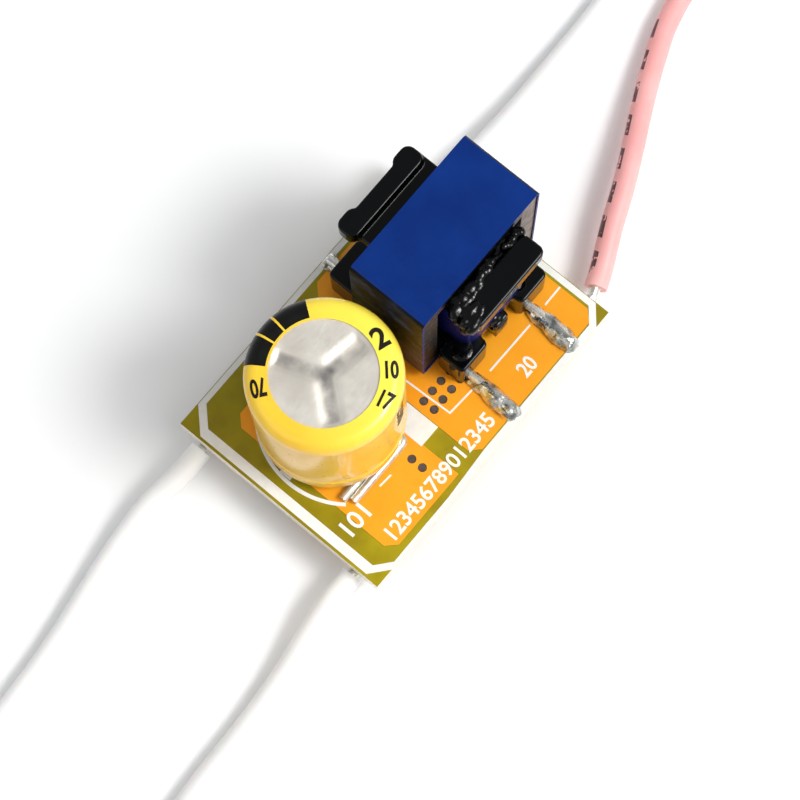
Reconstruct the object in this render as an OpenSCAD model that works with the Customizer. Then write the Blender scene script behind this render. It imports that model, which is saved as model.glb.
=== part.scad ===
// Open-board LED driver: a small circuit board with a storage capacitor, a taped inductor,
// surface parts under the board and four soldered leads.
// Origin at the middle of the board's outline on the table, +X towards the output leads, +Z up.

/* [Board] */
// Length of the board along X
board_l = 24; // [23:0.5:30]
// Width of the board along Y
board_w = 17; // [16.5:0.5:22]
// Thickness of the laminate
board_t = 1.6; // [0.8:0.2:2]
// Thickness of the copper foil
foil_t = 0.05; // [0.03:0.01:0.1]
// Drilled diameter of a via
via_d = 0.6; // [0.4:0.1:0.7]
// Spacing of the vias in a group
via_pitch = 0.9; // [0.8:0.05:1]
// Bare margin between the copper and the board's edge
copper_margin = 0.7; // [0.5:0.1:1]

/* [Capacitor] */
// Diameter of the capacitor over its sleeve
cap_d = 10; // [8:0.5:10.5]
// Height of the capacitor's top above the board
cap_h = 12.6; // [9:0.1:20]
// Gap between the can's rim and the board
cap_lift = 0.7; // [0.65:0.05:1.5]
// Radius of the can's top edge
cap_edge_r = 0.9; // [0.5:0.1:1.2]
// Diameter of the bare disc that the sleeve leaves open
cap_disc_d = 6.9; // [5:0.1:7.5]
// Thickness of the sleeve
sleeve_t = 0.1; // [0.08:0.01:0.2]
// Spacing of the capacitor's leads
cap_pitch = 5; // [5:0.1:5.6]
// Diameter of a capacitor lead
cap_lead_d = 0.6; // [0.5:0.05:0.7]
// Depth of the vent valleys in the top
vent_depth = 0.2; // [0.1:0.02:0.4]
// Distance from the capacitor's sleeve to the inductor's tape
part_gap = 0.9; // [0.8:0.1:2]
// Distance of the capacitor and the inductor from the board's centre line
part_y = 1.1; // [0.8:0.1:1.4]

/* [Inductor] */
// Length of the ferrite core along X
core_l = 11; // [10.2:0.1:12]
// Depth of the ferrite core along Y
core_d = 5.7; // [5:0.1:6.5]
// Height of the two core halves together
core_h = 12.4; // [10:0.2:15]
// Thickness of the core's back
core_back = 1.5; // [1:0.1:2]
// Thickness of the core's outer legs
core_leg = 1.4; // [1:0.1:1.6]
// Width of the core's middle post
core_post = 2.6; // [2:0.1:3]
// Air gap between the two middle posts
core_gap = 0.3; // [0.1:0.05:0.6]
// Gap between the core's tape and the board
core_lift = 0.6; // [0.4:0.1:1.2]
// Thickness of the tape round the core
tape_t = 0.15; // [0.05:0.05:0.25]
// Wall of the bobbin's tube
bobbin_wall = 0.5; // [0.4:0.05:0.6]
// Thickness of the bobbin's flanges
flange_t = 0.9; // [0.6:0.1:1.2]
// Length of the flanges along X
flange_l = 6.7; // [6.5:0.1:7.2]
// Width of the flanges along Y
flange_w = 10.9; // [10.6:0.1:12]
// Width of the raised bar on the top flange's pin side
pin_bar_w = 1.85; // [1.2:0.05:2]
// Width of the raised bar on the top flange's lobed side
lobe_bar_w = 1.3; // [0.8:0.05:1.5]
// Length of the raised bar on the lobed side
lobe_bar_l = 7.1; // [6.7:0.1:7.4]
// Height of the bars above the top flange
bar_h = 0.4; // [0.3:0.1:1]
// How far the lobed bar's ends stand out
lobe_out = 0.3; // [0.2:0.05:0.5]
// Build-up of the winding on the tube
winding_t = 0.95; // [0.8:0.05:1.2]
// Thickness of the tape round the winding
wrap_t = 0.1; // [0.05:0.01:0.12]
// Length of each pin foot along X
foot_l = 2.7; // [2:0.1:3]
// How far the feet of the lobed side stand out past those of the pin side
far_out = 0.6; // [0:0.1:0.8]
// How much longer the feet of the lobed side are, towards the capacitor
far_l = 0.5; // [0:0.1:0.6]
// Spacing of the pins along X
pin_pitch = 6.1; // [5.5:0.1:6.4]
// Distance of each pin from the middle of its foot, towards the capacitor
pin_shift = 0.5; // [0:0.1:0.7]
// Diameter of a pin
pin_d = 0.6; // [0.5:0.05:0.7]
// How far a pin stands out of its foot
pin_reach = 1.2; // [0.8:0.1:1.3]

/* [Underside parts] */
// Height of the bridge rectifier below the copper
bridge_h = 2.4; // [2.2:0.1:2.6]
// Body of the bridge rectifier along X
bridge_l = 3.9; // [3.6:0.1:4]
// Body of the bridge rectifier along Y
bridge_w = 4.7; // [4.4:0.1:5]
// Spacing of the bridge rectifier's leads
bridge_pitch = 2.54; // [2.3:0.01:2.54]
// Height of the freewheel diode below the copper
diode_h = 2.4; // [2.2:0.1:2.6]
// Body of the freewheel diode along X
diode_l = 4.3; // [4:0.1:4.6]
// Body of the freewheel diode along Y
diode_w = 3.6; // [3.3:0.1:3.8]
// Height of the driver chip below the copper
chip_h = 1.55; // [1.3:0.05:1.75]
// Body of the driver chip along X
chip_l = 4.9; // [4.8:0.05:5]
// Body of the driver chip along Y
chip_w = 3.9; // [3.7:0.05:4]
// Spacing of the driver chip's leads
chip_pitch = 1.27; // [1.2:0.01:1.3]
// Length of a large chip resistor
large_l = 3.2; // [3:0.1:3.3]
// Width of a large chip resistor
large_w = 1.6; // [1.4:0.05:1.7]
// Length of a small chip part
small_l = 2; // [1.8:0.1:2.1]
// Width of a small chip part
small_w = 1.25; // [1.1:0.05:1.3]
// Height of the chip resistors
resistor_h = 0.6; // [0.45:0.05:0.7]
// Height of the chip capacitor
ceramic_h = 0.9; // [0.7:0.05:1.2]

/* [Leads and solder] */
// Diameter of a lead over its insulation
wire_d = 1.6; // [1.4:0.05:1.6]
// Diameter of a lead's tinned strands
strand_d = 0.8; // [0.6:0.05:0.9]
// Length of the tinned far end of a lead
strip_l = 6; // [4:0.5:8]
// Length of a lead's strands on the underside, from the board's edge
strand_in = 2; // [1.6:0.1:2.2]
// Width of a solder joint
solder_w = 1.4; // [1.3:0.05:1.5]
// Height of a solder cone on a capacitor lead
cone_h = 0.9; // [0.6:0.1:1.1]

/* [Hidden] */
$fn = 48;

// Clearances
fit = 0.1;
pin_fit = 0.02;
drill_fit = 0.15;
solder_film = 0.1;
// How far a cutting shape runs past the part
over = 1;

// Levels, from the table up: the tallest underside part stands on the table
foil_z = max(bridge_h, diode_h);
board_z = foil_z + foil_t;
top_z = board_z + board_t;
seat_z = top_z + foil_t;

// Places on the board
edge_x = board_l / 2;
edge_y = board_w / 2;
inductor_edge = 0.05;
inductor_l = core_l + 2 * tape_t;
inductor_x = edge_x - inductor_edge - inductor_l / 2;
inductor_y = part_y;
inductor_left = inductor_x - inductor_l / 2;
cap_r = cap_d / 2;
can_r = cap_r - sleeve_t;
cap_x = inductor_left - part_gap - cap_r;
cap_y = part_y;
lead_pos_y = cap_y - cap_pitch / 2;
lead_neg_y = cap_y + cap_pitch / 2;

// Inductor levels and half sizes
core_z = seat_z + core_lift + tape_t;
core_mid = core_z + core_h / 2;
core_r = 0.3;
tape_w = core_d + 2 * fit;
tube_x = core_post / 2 + fit + bobbin_wall;
tube_y = core_d / 2 + fit + bobbin_wall;
bobbin_low = core_z + core_back + fit;
bobbin_high = core_z + core_h - core_back - fit;
foot_in = tape_w / 2 + fit;
bar_out = flange_w / 2;
foot_back = 0.2;
foot_out = bar_out - foot_back;
foot_r = 0.35;
low_flange_w = 2 * (tube_y + winding_t + wrap_t);
pin_r = pin_d / 2;
pin_z = seat_z + solder_film + pin_r;
pin_row = (foot_in + foot_out) / 2;
lobe_l = 1.8;
lobe_r = 0.6;
lobe_bar_shift = 0.3;
bar_r = 0.5;
flange_r = 0.3;
tooth_l = 1.2;
tooth_lift = 0.7;
tooth_back = 0.25;

// Capacitor details
can_wall = 0.3;
rim_r = 0.6;
rim_in = 1;
bung_h = 0.9;
bung_boss_r = 3.4;
sleeve_lap = 0.15;
bead_r = 0.9;
bead_depth = 0.1;
bead_z = 2.2;
vent_half_w = 0.75;
vent_turn = -9;
vent_end = 0.2;
vent_over = 0.01;
vent_steps = 8;
vent_r = (vent_half_w * vent_half_w + vent_depth * vent_depth) / (2 * vent_depth);
cone_tip = 0.08;

// Folded wire link beside the capacitor
link_r = 0.3;
link_pitch = 0.62;
link_under = 0.2;
link_start = 3.45;
link_end = 1.45;
link_step = 0.35;
link_y = cap_y - cap_r + link_under;
link_left = cap_x - link_start;
link_right = cap_x + link_end;

// Solder and lead details
solder_r = solder_w / 2;
solder_past = 0.4;
solder_edge = 0.15;
wire_r = wire_d / 2;
strand_r = strand_d / 2;
strand_z = foil_z - solder_film - strand_r;
cone_r = 0.65;
lead_tail = 0.3;
pour_split = 0.6;
pour_cut = 0.7;
cap_pour_start = 4.4;
cap_pour_end = 2.4;
cap_pour_up = 4.8;
switch_pour_out = 1.9;
switch_margin = 0.55;
foot_pour_out = 0.2;
cap_pour_left = cap_x - cap_pour_start;
cap_pour_right = cap_x + cap_pour_end;
cap_pour_high = cap_y + cap_pour_up;
switch_pour_left = inductor_left - switch_pour_out;
foot_pour_left = inductor_left - foot_pour_out;

// Places under the board
bridge_span = 6.6;
bridge_back = 2.9;
bridge_x = cap_x - bridge_back;
bridge_y = cap_y;
chip_span = 6;
diode_out = 0.5;
diode_under = 0.7;
diode_lead_w = 2;
pad_over = 0.35;
track_gap = 0.3;
half_track = 0.3;
pad_run = 1;
pad_edge = 0.1;
drain_run = 1.2;
bus_in = 0.4;
bus_w = 1.6;
terminal_l = 0.5;
terminal_over = 0.03;

// Lead pads, each set in from the board's long edge
live_in = 1.8;
neutral_in = 2;
negative_in = 2.7;
positive_in = 1.75;
live_y = edge_y - live_in;
neutral_y = -edge_y + neutral_in;
negative_y = edge_y - negative_in;
positive_y = -edge_y + positive_in;

// Row of parts from the capacitor's solder to the bleeder resistor, with the gaps between them
start_gap = 0.4;
chip_gap = 0.35;
fuse_gap = 0.9;
diode_gap = 0.1;
bleeder_in = 0.4;
chip_shift = 1.4;
start_shift = 1.1;
supply_shift = 1.5;
sense_shift = 0.2;
start_x = cap_x + cone_r + start_gap + small_l / 2;
chip_x = start_x + small_l / 2 + chip_gap + chip_l / 2;
bleeder_x = edge_x - bleeder_in - large_w / 2;
diode_x = bleeder_x - large_w / 2 - diode_gap - diode_l / 2 - diode_out;
fuse_x = -edge_x + strand_in + solder_past + fuse_gap + large_l / 2;
sense_x = chip_x - sense_shift;
chip_y = bridge_y - chip_shift;
start_y = bridge_y - start_shift;
supply_y = bridge_y + supply_shift;
diode_y = inductor_y;
bleeder_y = negative_y - solder_r - track_gap - large_l / 2;
sense_step = large_w + track_gap;
sense_y = edge_y - copper_margin - pad_edge - large_w / 2 - sense_step;

// Bends of the four leads: distance out from the board's edge, shift along Y from the pad,
// and lift from the table as a share of the strands' height there
live_bends = [[0.3, 0, 1], [2.5, 0, 1], [5, 0.3, 0.7], [8, 0.2, 0.36], [12, -0.3, 0.1], [16, -0.9, 0],
    [20, -1.3, 0], [24, -1.5, 0], [28, -1.4, 0], [32, -1.2, 0], [36, -0.9, 0], [40, -0.6, 0],
    [44, -0.3, 0], [49, -0.2, 0], [54, -0.2, 0]];
neutral_bends = [[0.3, 0, 1], [2.5, 0, 1], [5, -0.3, 0.7], [8, -0.7, 0.3], [12, -1, 0.05], [16, -1.1, 0],
    [20, -1.3, 0], [24, -1.2, 0], [28, -1, 0], [32, -0.7, 0], [36, -0.4, 0], [40, -0.2, 0],
    [44, -0.1, 0], [49, 0, 0], [54, 0, 0]];
negative_bends = [[0.3, 0, 1], [2.5, 0, 1], [5, 0, 0.7], [8, 0, 0.36], [12, 0.1, 0.1], [16, 0.2, 0],
    [20, 0.4, 0], [24, 0.5, 0], [28, 0.6, 0], [32, 0.7, 0], [36, 0.7, 0], [40, 0.7, 0],
    [44, 0.7, 0], [49, 0.7, 0], [54, 0.7, 0]];
positive_bends = [[1.3, 0.25, 1], [2.3, 0.65, 1], [5.2, 2.05, 1.18], [8, 3.25, 1.18], [11, 4.7, 0.9],
    [14, 6.2, 0.55], [17, 7.55, 0.27], [20, 8.65, 0.1], [24, 9.25, 0], [29, 9.05, 0], [34, 8.35, 0],
    [39, 7.45, 0], [44, 6.85, 0], [49, 6.75, 0], [54, 6.75, 0]];
function lead_route(side, pad_y, bends) = [for (b = bends)
    [side * (edge_x + b[0]), pad_y + b[1], wire_r + b[2] * (strand_z - wire_r)]];
live_route = lead_route(-1, live_y, live_bends);
neutral_route = lead_route(-1, neutral_y, neutral_bends);
negative_route = lead_route(1, negative_y, negative_bends);
positive_route = lead_route(1, positive_y, positive_bends);

// Bare strands in front of the insulation run in line with it, from a knee at the pad
strand_run = 0.6;
strand_sides = 16;
function strand_knee(route) = route[0] - strand_run * unit(route[1] - route[0]);

// Shared shapes

module rounded_rect(l, w, r) {
    square([l - 2 * r, w], center = true);
    square([l, w - 2 * r], center = true);
    for (sx = [-1, 1], sy = [-1, 1])
        translate([sx * (l / 2 - r), sy * (w / 2 - r)]) circle(r);
}

// Rectangle between two corners with the four corners cut off by the given lengths, from low-left round
module cut_rect(low, high, cuts) {
    polygon([[low.x + cuts[0], low.y], [high.x - cuts[1], low.y], [high.x, low.y + cuts[1]],
        [high.x, high.y - cuts[2]], [high.x - cuts[2], high.y], [low.x + cuts[3], high.y],
        [low.x, high.y - cuts[3]], [low.x, low.y + cuts[0]]]);
}

module strip(low, high) {
    translate(low) square(high - low);
}

module across_y(depth) {
    rotate([90, 0, 0]) linear_extrude(depth, center = true) children();
}

// Puts a part that is modelled standing on a pad under the board
module underside(x, y, turn = 0) {
    translate([x, y, foil_z]) mirror([0, 0, 1]) rotate(turn) children();
}

// Round bar along Y with domed ends
module capsule_y(r, y0, y1) {
    translate([0, y0 + r, 0]) rotate([-90, 0, 0]) cylinder(r = r, h = y1 - y0 - 2 * r);
    translate([0, y0 + r, 0]) sphere(r);
    translate([0, y1 - r, 0]) sphere(r);
}

// Functions that sweep a round tube along a route
function unit(v) = v / norm(v);
function heading(route, i) = unit(route[min(i + 1, len(route) - 1)] - route[max(i - 1, 0)]);
function sideways(t) = unit(cross(t, [0, 0, 1]));
function ring(route, i, r, sides) =
    let (t = heading(route, i), s = sideways(t), u = cross(s, t))
    [for (k = [0 : sides - 1]) route[i] + r * (cos(360 * k / sides) * s + sin(360 * k / sides) * u)];

module tube(route, r, sides = 8) {
    count = len(route);
    points = [for (i = [0 : count - 1]) each ring(route, i, r, sides)];
    walls = [for (i = [0 : count - 2], k = [0 : sides - 1])
        let (n = (k + 1) % sides, a = i * sides, b = a + sides)
        each [[a + k, a + n, b + n], [a + k, b + n, b + k]]];
    first = [for (k = [sides - 1 : -1 : 0]) k];
    last = [for (k = [0 : sides - 1]) (count - 1) * sides + k];
    polyhedron(points, concat(walls, [first, last]));
}

// Holes drilled through the board and its copper
via_out = [1.2, 0.95];
cap_via_out = [1.2, 0.9];
corner_via_in = [0.4, 0.5];
via_start = [inductor_left - via_out.x, inductor_y - foot_in - via_out.y];
cap_via = [cap_x + cap_via_out.x, cap_y - cap_r - cap_via_out.y];
corner_via = [edge_x, edge_y] - [copper_margin, copper_margin] - corner_via_in;
vias = concat(
    [for (i = [0 : 3], j = [0 : 1]) via_start + via_pitch * [i, -j]],
    [for (j = [0 : 1]) cap_via - via_pitch * [0, j]],
    [for (i = [0 : 1]) corner_via - via_pitch * [i, 0]]);
lead_hole_d = cap_lead_d + 2 * drill_fit;

module drilling() {
    for (v = vias) translate(v) circle(d = via_d);
    for (y = [lead_pos_y, lead_neg_y]) translate([cap_x, y]) circle(d = lead_hole_d);
}

// Board and copper

module circuit_board() {
    color("olive") translate([0, 0, board_z]) linear_extrude(board_t) difference() {
        square([board_l, board_w], center = true);
        drilling();
    }
}

module top_copper() {
    low_y = -edge_y + copper_margin;
    high_y = edge_y - copper_margin;
    high_x = edge_x - copper_margin;
    color("darkorange") translate([0, 0, top_z]) linear_extrude(foil_t) difference() {
        union() {
            cut_rect([cap_pour_left, low_y], [cap_pour_right, cap_y - pour_split / 2], [pour_cut, 0, 0, 0]);
            cut_rect([cap_pour_left, cap_y + pour_split / 2], [cap_pour_right, cap_pour_high],
                [0, 0, 0, pour_cut]);
            cut_rect([switch_pour_left, -edge_y + switch_margin], [high_x, inductor_y - pour_split / 2],
                [pour_cut, pour_cut, 0, 0]);
            cut_rect([foot_pour_left, inductor_y + foot_in], [high_x, high_y], [0, 0, pour_cut, pour_cut]);
        }
        drilling();
    }
}

// Reach of the pads under the two-lead and gull-wing parts
bridge_tip = bridge_span / 2;
diode_tip = diode_l / 2 + diode_out;
chip_tip = chip_span / 2;

// Live input, fuse and the bridge's two mains pads
module mains_tracks() {
    low_x = -edge_x + copper_margin / 2;
    pad_x = bridge_x - bridge_tip;
    half = large_w / 2;
    fuse_end = fuse_x + large_l / 2;
    turn_y = lead_neg_y + cone_r + 2 * pad_over;
    strip([low_x, live_y - half], [fuse_x - large_l / 2 + terminal_l + pad_over, live_y + half]);
    strip([fuse_end - terminal_l - pad_over, turn_y], [fuse_end + pad_over, live_y + half]);
    strip([pad_x - pad_over, turn_y], [fuse_end + pad_over, turn_y + 2 * half_track]);
    strip([pad_x - pad_over, bridge_y + bridge_pitch / 2 - pad_over],
        [pad_x + 2 * pad_over, turn_y + 2 * half_track]);
    strip([low_x, neutral_y - half], [-edge_x + strand_in + 2 * pad_over, neutral_y + half]);
    strip([pad_x - pad_over, neutral_y], [pad_x + 2 * pad_over, bridge_y - bridge_pitch / 2 + pad_over]);
}

// Rectified supply: the negative plane, the positive bus and the chip's own supply
module supply_tracks() {
    dc_x = bridge_x + bridge_tip;
    pad_left = cap_x - cone_r - pad_over / 2;
    start_left = start_x - small_l / 2 + terminal_l + pad_over;
    start_right = start_x + small_l / 2 - terminal_l - pad_over;
    vcc_x = chip_x - 1.5 * chip_pitch;
    pin_y = chip_y + chip_tip;
    low_y = -edge_y + copper_margin;
    half = small_w / 2 + pad_edge;
    plane_y = supply_y + half + track_gap;
    sense_left = sense_x - large_l / 2 + terminal_l + pad_over;
    ground_x = chip_x + chip_pitch / 2;
    sense_top = sense_y + sense_step + large_w / 2;
    strip([pad_left, bridge_y + bridge_pitch / 2 - pad_over], [dc_x + 2 * pad_over, lead_neg_y + cone_r]);
    strip([pad_left, supply_y - half], [start_left, supply_y + half]);
    strip([dc_x + pad_over, plane_y], [sense_left, sense_top]);
    strip([sense_left - pad_edge, pin_y + pad_run / 2], [ground_x + half_track, pin_y + pad_run]);
    strip([ground_x - half_track, pin_y - pad_run], [ground_x + half_track, pin_y + pad_run]);
    strip([pad_left, lead_pos_y - cone_r], [start_left, bridge_y - bridge_pitch / 2 + pad_over]);
    strip([cap_x + bus_in, low_y], [cap_x + bus_in + bus_w, lead_pos_y]);
    strip([cap_x + bus_in, low_y], [edge_x - copper_margin, positive_y + solder_w]);
    strip([diode_x + diode_tip - pad_run, low_y],
        [edge_x - copper_margin, bleeder_y - large_l / 2 + terminal_l]);
    strip([start_right, start_y - half], [start_x + small_l / 2 + pad_edge, supply_y + half]);
    strip([start_right, supply_y - half], [vcc_x + half_track, supply_y + half]);
}

// Switched side: the chip's drain plane, its sense pad and the output's negative pad
module switch_tracks() {
    row_y = chip_y - chip_tip;
    pin_y = chip_y + chip_tip;
    sense_pin = chip_x + 1.5 * chip_pitch;
    spare_pin = chip_x - chip_pitch / 2;
    sense_right = sense_x + large_l / 2 - terminal_l - pad_over;
    anode_x = diode_x - diode_tip;
    drain_low = row_y - drain_run;
    strip([chip_x - 1.5 * chip_pitch - pad_over, drain_low], [anode_x + pad_run, row_y + pad_run]);
    strip([anode_x - pad_over, drain_low], [anode_x + pad_run, diode_y + drain_run]);
    strip([sense_right, sense_y - large_w / 2],
        [sense_pin + half_track, sense_y + sense_step + large_w / 2]);
    strip([sense_pin - half_track, pin_y - pad_run], [sense_pin + half_track, sense_y]);
    strip([spare_pin - half_track, pin_y - pad_run], [spare_pin + half_track, pin_y + 2 * pad_edge]);
    strip([edge_x - copper_margin - 2 * pad_run, bleeder_y + large_l / 2 - terminal_l - pad_over],
        [edge_x - copper_margin, edge_y - copper_margin]);
}

module bottom_copper() {
    color("peru") translate([0, 0, foil_z]) linear_extrude(foil_t) difference() {
        union() {
            mains_tracks();
            supply_tracks();
            switch_tracks();
        }
        drilling();
    }
}

// Capacitor

// Half section of the can between its rim and its top, grown by the sleeve where asked
module can_section(grow) {
    r = can_r + grow;
    low = seat_z + cap_lift - grow;
    high = seat_z + cap_h - sleeve_t + grow;
    edge = cap_edge_r - sleeve_t + grow;
    rim = rim_r + grow;
    difference() {
        union() {
            translate([0, low + rim]) square([r, high - edge - low - rim]);
            translate([0, low]) square([r - rim, high - low - edge]);
            translate([0, high - 2 * edge]) square([r - edge, 2 * edge]);
            translate([r - edge, high - edge]) circle(edge);
            translate([r - rim, low + rim]) circle(rim);
        }
        translate([can_r + bead_r - bead_depth, seat_z + cap_lift + bead_z]) circle(bead_r - grow);
    }
}

module bung_section() {
    low = seat_z + cap_lift;
    translate([0, seat_z]) square([bung_boss_r, cap_lift]);
    translate([0, low]) square([can_r - rim_in, rim_r]);
    translate([0, low + rim_r]) square([can_r - can_wall, bung_h]);
}

module at_capacitor() {
    translate([cap_x, cap_y, 0]) children();
}

// Round-bottomed section of a vent valley, from edge to edge
function valley_floor(x) = vent_r - vent_depth - sqrt(vent_r * vent_r - x * x);

module vent_section() {
    xs = [for (i = [0 : vent_steps]) vent_half_w * (2 * i / vent_steps - 1)];
    polygon(concat([for (x = xs) [x, valley_floor(x)]], [[vent_half_w, vent_over], [-vent_half_w, vent_over]]));
}

// The can, with the bung's seat and three vent valleys that meet at the middle of its top
module capacitor_can() {
    top = seat_z + cap_h - sleeve_t;
    color("silver") at_capacitor() difference() {
        rotate_extrude() difference() {
            can_section(0);
            bung_section();
        }
        for (k = [0 : 2]) translate([0, 0, top]) rotate([90, 0, vent_turn + 120 * k + 90])
            linear_extrude(cap_disc_d / 2 - vent_end) vent_section();
    }
}

module capacitor_sleeve() {
    low = seat_z + cap_lift;
    color("gold") at_capacitor() rotate_extrude() difference() {
        can_section(sleeve_t);
        can_section(0);
        square([cap_r, low + sleeve_lap]);
        translate([0, seat_z + cap_h - cap_edge_r]) square([cap_disc_d / 2, cap_edge_r + over]);
    }
}

module capacitor_bung() {
    color("black") at_capacitor() difference() {
        rotate_extrude() bung_section();
        for (s = [-1, 1]) translate([0, s * cap_pitch / 2, 0])
            cylinder(d = cap_lead_d, h = seat_z + cap_h);
    }
}

module capacitor_lead(y) {
    low = foil_z - cone_h - lead_tail;
    high = seat_z + cap_lift + rim_r + bung_h;
    color("lightgray") translate([cap_x, y, low]) cylinder(d = cap_lead_d, h = high - low);
}

module capacitor_lead_positive() {
    capacitor_lead(lead_pos_y);
}

module capacitor_lead_negative() {
    capacitor_lead(lead_neg_y);
}

module capacitor_solder() {
    color("silver") for (y = [lead_pos_y, lead_neg_y]) underside(cap_x, y) difference() {
        cylinder(r1 = cone_r, r2 = cap_lead_d / 2 + cone_tip, h = cone_h);
        translate([0, 0, -over]) cylinder(d = cap_lead_d, h = cone_h + 2 * over);
    }
}

// Tinned wire folded double, lying on the copper beside the capacitor
module wire_link() {
    color("silver") translate([0, link_y, seat_z + link_r]) {
        for (row = [0, 1])
            translate([link_left - link_step * row, row * link_pitch, 0]) rotate([0, 90, 0])
                cylinder(r = link_r, h = link_right - link_left + link_step * row);
        translate([link_right, link_pitch / 2, 0]) rotate(-90)
            rotate_extrude(angle = 180) translate([link_pitch / 2, 0]) circle(link_r);
    }
}

// Inductor

module at_inductor() {
    translate([inductor_x, inductor_y, 0]) children();
}

// Place of a pin along X, from the inductor's middle
function pin_x(sx) = sx * pin_pitch / 2 - pin_shift;

// Reach and length of the feet on one side
function foot_reach(sy) = sy > 0 ? foot_out + far_out : foot_out;
function foot_length(sy) = sy > 0 ? foot_l + far_l : foot_l;

// Foot under one corner of the lower flange, with a slot for its pin
module pin_foot(sx, sy) {
    reach = foot_reach(sy);
    l = foot_length(sy);
    translate([sx * pin_pitch / 2 + (foot_l - l) / 2, sy * (foot_in + reach) / 2, seat_z])
        linear_extrude(bobbin_low + flange_t - seat_z) rounded_rect(l, reach - foot_in, foot_r);
}

module pin_slot(sx, sy) {
    half = pin_r + pin_fit;
    reach = foot_reach(sy) + over;
    y0 = sy > 0 ? pin_row - half : -reach;
    translate([pin_x(sx) - half, y0, seat_z - over])
        cube([2 * half, reach - pin_row + half, pin_z + half - seat_z + over]);
    translate([pin_x(sx), sy * pin_row, seat_z])
        cylinder(r = half, h = bobbin_low + flange_t - seat_z + over);
}

// Bars on the top flange: a plain one on the pin side, and one with a lobe at each of its ends
module pin_bar() {
    translate([0, pin_bar_w / 2 - bar_out]) rounded_rect(flange_l, pin_bar_w, bar_r);
}

module lobe_bar() {
    translate([-lobe_bar_shift, bar_out - lobe_bar_w / 2]) {
        square([lobe_bar_l - lobe_l, lobe_bar_w], center = true);
        for (s = [-1, 1]) translate([s * (lobe_bar_l - lobe_l) / 2, lobe_out / 2])
            rounded_rect(lobe_l, lobe_bar_w + lobe_out, lobe_r);
    }
}

module inductor_bobbin() {
    color("black") at_inductor() difference() {
        union() {
            translate([-tube_x, -tube_y, bobbin_low])
                cube([2 * tube_x, 2 * tube_y, bobbin_high - bobbin_low]);
            translate([0, 0, bobbin_low])
                linear_extrude(flange_t) rounded_rect(flange_l, low_flange_w, flange_r);
            translate([0, 0, bobbin_high - flange_t])
                linear_extrude(flange_t) rounded_rect(flange_l, flange_w, bar_r);
            translate([0, 0, bobbin_high - flange_t]) linear_extrude(flange_t + bar_h) {
                pin_bar();
                lobe_bar();
            }
            for (turn = [0, 180]) rotate(turn) translate([-tooth_l / 2, foot_in, seat_z + tooth_lift])
                cube([tooth_l, foot_out - tooth_back - foot_in, bobbin_low + flange_t - seat_z - tooth_lift]);
            for (sx = [-1, 1], sy = [-1, 1]) pin_foot(sx, sy);
        }
        translate([-core_post / 2 - fit, -core_d / 2 - fit, bobbin_low - over])
            cube([core_post + 2 * fit, core_d + 2 * fit, bobbin_high - bobbin_low + 2 * over]);
        for (sx = [-1, 1], sy = [-1, 1]) pin_slot(sx, sy);
    }
}

// Lower half of the core's outline about the middle of its height
module half_core_section() {
    window = (core_l - core_post) / 2 - core_leg;
    difference() {
        rounded_rect(core_l, core_h, core_r);
        translate([-core_l, 0]) square([2 * core_l, core_h]);
        for (s = [-1, 1]) translate([s * (core_post + window) / 2, 0])
            square([window, core_h - 2 * core_back], center = true);
        square([core_post, core_gap], center = true);
    }
}

module half_core() {
    color("dimgray") across_y(core_d) half_core_section();
}

module core_lower() {
    at_inductor() translate([0, 0, core_mid]) half_core();
}

module core_upper() {
    at_inductor() translate([0, 0, core_mid]) mirror([0, 0, 1]) half_core();
}

module core_tape() {
    color("mediumblue") at_inductor() translate([0, 0, core_mid]) across_y(tape_w) difference() {
        rounded_rect(core_l + 2 * tape_t, core_h + 2 * tape_t, core_r + tape_t);
        rounded_rect(core_l, core_h, core_r);
    }
}

// Outline of the winding at a given build-up on the bobbin's tube
module coil_outline(build) {
    rounded_rect(2 * (tube_x + build), 2 * (tube_y + build), build);
}

module coil_space() {
    low = bobbin_low + flange_t;
    at_inductor() translate([0, 0, low]) linear_extrude(bobbin_high - flange_t - low) children();
}

module winding() {
    color("chocolate") coil_space() difference() {
        coil_outline(winding_t);
        square([2 * tube_x, 2 * tube_y], center = true);
    }
}

module winding_tape() {
    color("navy") coil_space() difference() {
        coil_outline(winding_t + wrap_t);
        coil_outline(winding_t);
    }
}

// Pin with one leg in its foot and one leg lying outwards over the pad
module inductor_pin(sx, sy) {
    tip = foot_reach(sy) + pin_reach;
    color("silver") at_inductor() translate([pin_x(sx), sy * pin_row, pin_z]) {
        cylinder(r = pin_r, h = bobbin_low + flange_t / 2 - pin_z);
        sphere(pin_r);
        rotate([sy > 0 ? -90 : 90, 0, 0]) cylinder(r = pin_r, h = tip - pin_row);
    }
}

module inductor_pin_1() {
    inductor_pin(-1, -1);
}

module inductor_pin_2() {
    inductor_pin(1, -1);
}

module inductor_pin_3() {
    inductor_pin(-1, 1);
}

module inductor_pin_4() {
    inductor_pin(1, 1);
}

// Solder ridge over one pin, from its foot to the end of its pad
module pin_solder(sx, sy) {
    pad_end = edge_y - sy * inductor_y - solder_edge;
    reach = foot_reach(sy);
    difference() {
        translate([pin_x(sx), 0, seat_z + solder_film])
            mirror([0, sy > 0 ? 0 : 1, 0]) capsule_y(solder_r, reach - solder_r, pad_end);
        translate([-core_l, -board_w, seat_z - board_w]) cube([2 * core_l, 2 * board_w, board_w]);
        translate([-core_l, -reach, seat_z - over]) cube([2 * core_l, 2 * reach, core_h]);
        translate([pin_x(sx), 0, pin_z]) rotate([sy > 0 ? -90 : 90, 0, 0])
            cylinder(r = pin_r, h = reach + pin_reach);
    }
}

module inductor_solder() {
    color("silver") at_inductor() for (sx = [-1, 1], sy = [-1, 1]) pin_solder(sx, sy);
}

// Underside parts, each modelled standing on its pads

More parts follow.
